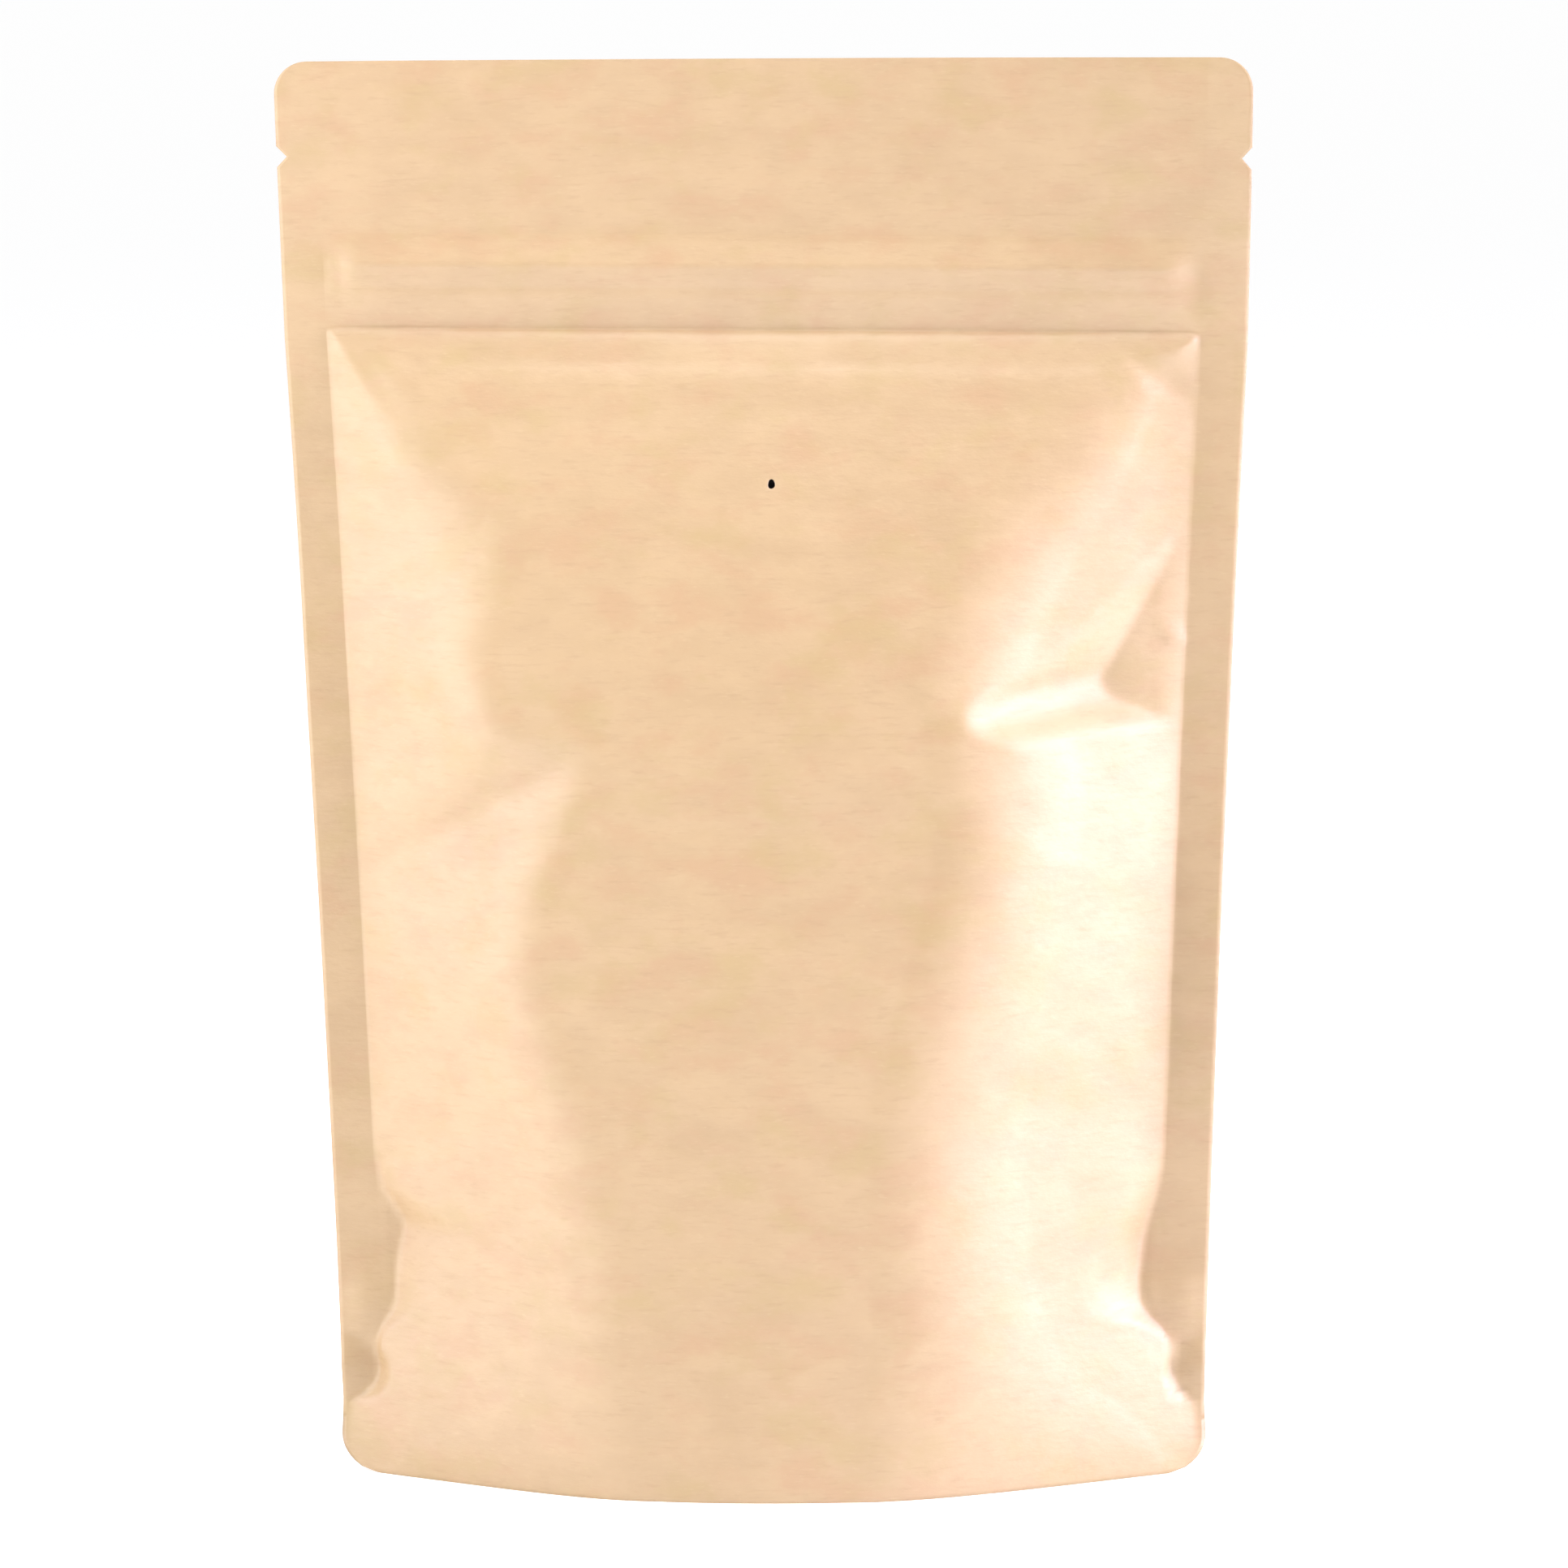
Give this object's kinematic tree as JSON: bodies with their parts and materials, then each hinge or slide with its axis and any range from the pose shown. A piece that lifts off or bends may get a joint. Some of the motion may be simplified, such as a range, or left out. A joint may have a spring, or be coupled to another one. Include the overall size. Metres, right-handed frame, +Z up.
{
  "type": "stand-up pouch",
  "caption": "Filled kraft paper stand-up pouch, shut, with side seals, a press-to-close zip band, tear notches and a folded base that stands on its own edge.",
  "frame": {"origin": "on the ground, under the middle of the pouch's bounding box", "axes": "+Z up; the front face, which has the pin-hole vent, looks along -Y; +X to the right seen from the front"},
  "size_m": [0.1598, 0.0606, 0.234],
  "materials": {
    "kraft_paper": "semi-gloss laminated kraft paper, light brown with fine fibres"
  },
  "bodies": {
    "root": {"pouch": "kraft_paper"}
  },
  "joints": []
}
